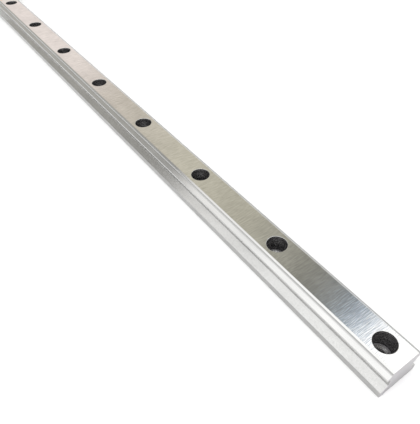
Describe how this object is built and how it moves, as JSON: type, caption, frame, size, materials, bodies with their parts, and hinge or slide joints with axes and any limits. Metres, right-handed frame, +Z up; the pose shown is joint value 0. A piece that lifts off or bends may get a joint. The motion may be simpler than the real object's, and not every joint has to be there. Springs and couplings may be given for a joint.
{
  "type": "linear guide rail with carriage",
  "caption": "Profiled steel linear guide rail with counterbored fixing holes and a ball groove pair on each side, with a low-profile recirculating ball carriage parked at its far end.",
  "frame": {"origin": "middle of the rail's bottom face, in length and in width", "axes": "+X along the rail from the near end towards the end where the carriage is parked, +Y to the rail's left side, +Z up from the bed"},
  "size_m": [0.56, 0.042, 0.028],
  "materials": {
    "rail_steel": "hardened steel, top face and ball grooves surface-ground with fine lines across the rail, flanks drawn and frosted",
    "block_steel": "hardened steel, ground faces",
    "cap_plastic": "glass-filled nylon, fine moulded grain",
    "guide_plastic": "natural acetal",
    "seal_rubber": "nitrile rubber, slightly dusty",
    "plate_steel": "cold-rolled sheet, lightly brushed",
    "screw_steel": "zinc-plated",
    "ball_steel": "lapped bearing steel",
    "nipple_brass": "turned brass",
    "plug_steel": "black-oxide set screw"
  },
  "bodies": {
    "rail": {"rail": "rail_steel"},
    "carriage": {"carriage_block": "block_steel", "end_cap_front": "cap_plastic", "end_cap_rear": "cap_plastic", "return_guides_front": "guide_plastic", "return_guides_rear": "guide_plastic", "end_seal_front": "seal_rubber", "end_seal_rear": "seal_rubber", "seal_plate_front": "plate_steel", "seal_plate_rear": "plate_steel", "cap_screws_front": "screw_steel", "cap_screws_rear": "screw_steel", "upper_retainer": "guide_plastic", "lower_retainer_left": "guide_plastic", "lower_retainer_right": "guide_plastic", "bottom_seal_left": "seal_rubber", "bottom_seal_right": "seal_rubber", "balls_upper_left": "ball_steel", "balls_upper_right": "ball_steel", "balls_lower_left": "ball_steel", "balls_lower_right": "ball_steel", "grease_nipple": "nipple_brass", "nipple_ball": "ball_steel", "port_plug": "plug_steel"}
  },
  "joints": [
    {"name": "carriage_slide", "type": "slide", "parent": "rail", "child": "carriage", "axis": [1, 0, 0], "range_m": [-0.479, 0.0099]}
  ]
}
